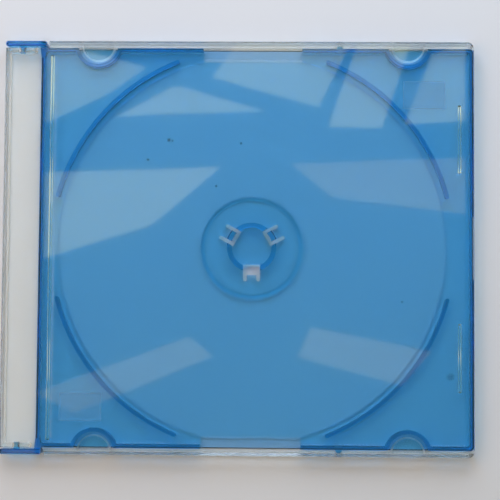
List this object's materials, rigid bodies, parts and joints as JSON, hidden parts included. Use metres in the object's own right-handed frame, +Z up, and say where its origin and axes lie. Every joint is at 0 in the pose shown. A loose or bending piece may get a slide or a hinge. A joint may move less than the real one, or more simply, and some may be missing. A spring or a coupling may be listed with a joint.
{
  "type": "slim disc case",
  "caption": "Slim hinged case for one compact disc: tinted see-through tray with a sprung hub, under a clear lid.",
  "frame": {"origin": "middle of the closed case's outline, on its underside", "axes": "+X from the hinge spine to the opening edge, +Y along the hinge, +Z up out of the lid"},
  "size_m": [0.142, 0.125, 0.0052],
  "materials": {
    "tray": "polished, transparent blue polystyrene",
    "lid": "polished, clear polystyrene"
  },
  "bodies": {
    "tray": {"tray": "tray"},
    "lid": {"lid": "lid"}
  },
  "joints": [
    {"name": "lid_hinge", "type": "hinge", "parent": "tray", "child": "lid", "pos_m": [-0.0661, 0, 0.0026], "axis": [0, -1, 0], "range_deg": [0, 180]}
  ]
}
